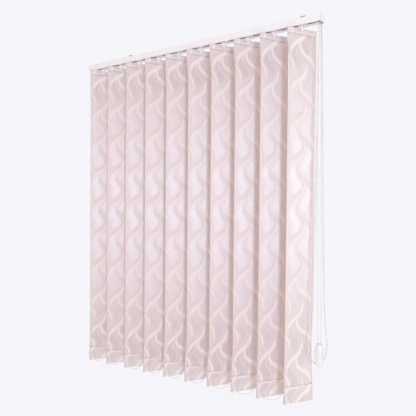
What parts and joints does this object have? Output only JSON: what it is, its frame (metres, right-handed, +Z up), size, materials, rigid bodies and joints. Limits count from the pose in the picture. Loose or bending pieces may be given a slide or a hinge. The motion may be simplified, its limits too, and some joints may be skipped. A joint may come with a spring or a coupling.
{
  "type": "vertical blind",
  "caption": "Vertical blind: white headrail with patterned fabric slats that tilt by a bead chain and draw aside by a cord, linked along the bottom by chains.",
  "frame": {"origin": "midway between the two ceiling screws, on the ceiling plane", "axes": "+X along the rail to the control end, +Y towards the wall, +Z up"},
  "size_m": [0.8534, 0.0878, 0.9961],
  "materials": {
    "rail_white": "white powder coat, low gloss",
    "white_plastic": "moulded white plastic",
    "white_gloss_plastic": "glossy white plastic",
    "runner_plastic": "off-white acetal",
    "chain_white": "white plastic ball chain",
    "white_cord": "braided polyester cord",
    "slat_fabric": "pale pink satin jacquard with a flowing wave pattern",
    "rod_aluminium": "drawn aluminium",
    "bracket_steel": "zinc-plated sheet steel"
  },
  "bodies": {
    "rail": {"headrail": "rail_white", "control_end_cap": "white_plastic", "far_end_cap": "white_plastic", "ceiling_brackets": "bracket_steel", "draw_cord_run": "white_cord", "draw_cord_loop": "white_cord", "cord_weight": "white_gloss_plastic", "bead_chain": "white_gloss_plastic", "runner_10": "runner_plastic"},
    "tilt_shaft": {"tilt_rod": "rod_aluminium", "chain_sprocket": "white_plastic"},
    "far_wheel": {"far_pulley": "white_plastic"},
    "front_wheel": {"cord_pulley_front": "white_plastic"},
    "rear_wheel": {"cord_pulley_rear": "white_plastic"},
    "front_links": {"front_chain": "chain_white"},
    "rear_links": {"rear_chain": "chain_white"},
    "truck_1": {"runner_1": "runner_plastic"},
    "truck_2": {"runner_2": "runner_plastic"},
    "truck_3": {"runner_3": "runner_plastic"},
    "truck_4": {"runner_4": "runner_plastic"},
    "truck_5": {"runner_5": "runner_plastic"},
    "truck_6": {"runner_6": "runner_plastic"},
    "truck_7": {"runner_7": "runner_plastic"},
    "truck_8": {"runner_8": "runner_plastic"},
    "truck_9": {"runner_9": "runner_plastic"},
    "vane_1": {"hook_1": "white_plastic", "slat_1": "slat_fabric", "weight_1": "white_plastic"},
    "vane_2": {"hook_2": "white_plastic", "slat_2": "slat_fabric", "weight_2": "white_plastic"},
    "vane_3": {"hook_3": "white_plastic", "slat_3": "slat_fabric", "weight_3": "white_plastic"},
    "vane_4": {"hook_4": "white_plastic", "slat_4": "slat_fabric", "weight_4": "white_plastic"},
    "vane_5": {"hook_5": "white_plastic", "slat_5": "slat_fabric", "weight_5": "white_plastic"},
    "vane_6": {"hook_6": "white_plastic", "slat_6": "slat_fabric", "weight_6": "white_plastic"},
    "vane_7": {"hook_7": "white_plastic", "slat_7": "slat_fabric", "weight_7": "white_plastic"},
    "vane_8": {"hook_8": "white_plastic", "slat_8": "slat_fabric", "weight_8": "white_plastic"},
    "vane_9": {"hook_9": "white_plastic", "slat_9": "slat_fabric", "weight_9": "white_plastic"},
    "vane_10": {"hook_10": "white_plastic", "slat_10": "slat_fabric", "weight_10": "white_plastic"}
  },
  "joints": [
    {"name": "traverse", "type": "slide", "parent": "rail", "child": "truck_1", "axis": [1, 0, 0], "range_m": [0, 0.486], "deforming": ["front_chain", "rear_chain"]},
    {"name": "traverse_2", "type": "slide", "parent": "rail", "child": "truck_2", "axis": [1, 0, 0], "range_m": [0, 0.432]},
    {"name": "traverse_3", "type": "slide", "parent": "rail", "child": "truck_3", "axis": [1, 0, 0], "range_m": [0, 0.378]},
    {"name": "traverse_4", "type": "slide", "parent": "rail", "child": "truck_4", "axis": [1, 0, 0], "range_m": [0, 0.324]},
    {"name": "traverse_5", "type": "slide", "parent": "rail", "child": "truck_5", "axis": [1, 0, 0], "range_m": [0, 0.27]},
    {"name": "traverse_6", "type": "slide", "parent": "rail", "child": "truck_6", "axis": [1, 0, 0], "range_m": [0, 0.216]},
    {"name": "traverse_7", "type": "slide", "parent": "rail", "child": "truck_7", "axis": [1, 0, 0], "range_m": [0, 0.162]},
    {"name": "traverse_8", "type": "slide", "parent": "rail", "child": "truck_8", "axis": [1, 0, 0], "range_m": [0, 0.108]},
    {"name": "traverse_9", "type": "slide", "parent": "rail", "child": "truck_9", "axis": [1, 0, 0], "range_m": [0, 0.054]},
    {"name": "tilt_1", "type": "hinge", "parent": "truck_1", "child": "vane_1", "pos_m": [-0.429, -0.004, -0.02], "axis": [0, 0, 1], "range_deg": [-45, 105]},
    {"name": "tilt_2", "type": "hinge", "parent": "truck_2", "child": "vane_2", "pos_m": [-0.349, -0.004, -0.02], "axis": [0, 0, 1], "range_deg": [-45, 105]},
    {"name": "tilt_3", "type": "hinge", "parent": "truck_3", "child": "vane_3", "pos_m": [-0.269, -0.004, -0.02], "axis": [0, 0, 1], "range_deg": [-45, 105]},
    {"name": "tilt_4", "type": "hinge", "parent": "truck_4", "child": "vane_4", "pos_m": [-0.189, -0.004, -0.02], "axis": [0, 0, 1], "range_deg": [-45, 105]},
    {"name": "tilt_5", "type": "hinge", "parent": "truck_5", "child": "vane_5", "pos_m": [-0.109, -0.004, -0.02], "axis": [0, 0, 1], "range_deg": [-45, 105]},
    {"name": "tilt_6", "type": "hinge", "parent": "truck_6", "child": "vane_6", "pos_m": [-0.029, -0.004, -0.02], "axis": [0, 0, 1], "range_deg": [-45, 105]},
    {"name": "tilt_7", "type": "hinge", "parent": "truck_7", "child": "vane_7", "pos_m": [0.051, -0.004, -0.02], "axis": [0, 0, 1], "range_deg": [-45, 105]},
    {"name": "tilt_8", "type": "hinge", "parent": "truck_8", "child": "vane_8", "pos_m": [0.131, -0.004, -0.02], "axis": [0, 0, 1], "range_deg": [-45, 105]},
    {"name": "tilt_9", "type": "hinge", "parent": "truck_9", "child": "vane_9", "pos_m": [0.211, -0.004, -0.02], "axis": [0, 0, 1], "range_deg": [-45, 105]},
    {"name": "tilt", "type": "hinge", "parent": "rail", "child": "vane_10", "pos_m": [0.291, -0.004, -0.02], "axis": [0, 0, 1], "range_deg": [-45, 105]},
    {"name": "rod_turn", "type": "hinge", "parent": "rail", "child": "tilt_shaft", "pos_m": [0.3395, 0.003, -0.0108], "axis": [1, 0, 0], "range_deg": [-180.5, 420.5]},
    {"name": "far_pulley_turn", "type": "hinge", "parent": "rail", "child": "far_wheel", "pos_m": [-0.474, 0, -0.0083], "axis": [0, 0, 1], "range_deg": [0, 2264.38]},
    {"name": "front_pulley_turn", "type": "hinge", "parent": "rail", "child": "front_wheel", "pos_m": [0.3315, -0.0123, -0.0128], "axis": [0, 1, 0], "range_deg": [0, 6188.44]},
    {"name": "rear_pulley_turn", "type": "hinge", "parent": "rail", "child": "rear_wheel", "pos_m": [0.3315, 0.0123, -0.0128], "axis": [0, 1, 0], "range_deg": [-6188.44, 0]},
    {"name": "front_links_turn", "type": "hinge", "parent": "vane_10", "child": "front_links", "pos_m": [0.2664, -0.04661, -0.9701], "axis": [0, 0, 1], "range_deg": [-105.5, 45.5]},
    {"name": "rear_links_turn", "type": "hinge", "parent": "vane_10", "child": "rear_links", "pos_m": [0.3156, 0.03861, -0.9701], "axis": [0, 0, 1], "range_deg": [-105.5, 45.5]}
  ],
  "couplings": [
    {"joint": "traverse_2", "follows": "traverse", "ratio": 0.88889},
    {"joint": "traverse_3", "follows": "traverse", "ratio": 0.77778},
    {"joint": "traverse_4", "follows": "traverse", "ratio": 0.66667},
    {"joint": "traverse_5", "follows": "traverse", "ratio": 0.55556},
    {"joint": "traverse_6", "follows": "traverse", "ratio": 0.44444},
    {"joint": "traverse_7", "follows": "traverse", "ratio": 0.33333},
    {"joint": "traverse_8", "follows": "traverse", "ratio": 0.22222},
    {"joint": "traverse_9", "follows": "traverse", "ratio": 0.11111},
    {"joint": "tilt_1", "follows": "tilt", "ratio": 1},
    {"joint": "tilt_2", "follows": "tilt", "ratio": 1},
    {"joint": "tilt_3", "follows": "tilt", "ratio": 1},
    {"joint": "tilt_4", "follows": "tilt", "ratio": 1},
    {"joint": "tilt_5", "follows": "tilt", "ratio": 1},
    {"joint": "tilt_6", "follows": "tilt", "ratio": 1},
    {"joint": "tilt_7", "follows": "tilt", "ratio": 1},
    {"joint": "tilt_8", "follows": "tilt", "ratio": 1},
    {"joint": "tilt_9", "follows": "tilt", "ratio": 1},
    {"joint": "rod_turn", "follows": "tilt", "ratio": 4},
    {"joint": "far_pulley_turn", "follows": "traverse", "rad_per_m": 81.301},
    {"joint": "front_pulley_turn", "follows": "traverse", "rad_per_m": 222.22},
    {"joint": "rear_pulley_turn", "follows": "traverse", "rad_per_m": -222.22},
    {"joint": "front_links_turn", "follows": "tilt", "ratio": -1},
    {"joint": "rear_links_turn", "follows": "tilt", "ratio": -1}
  ]
}
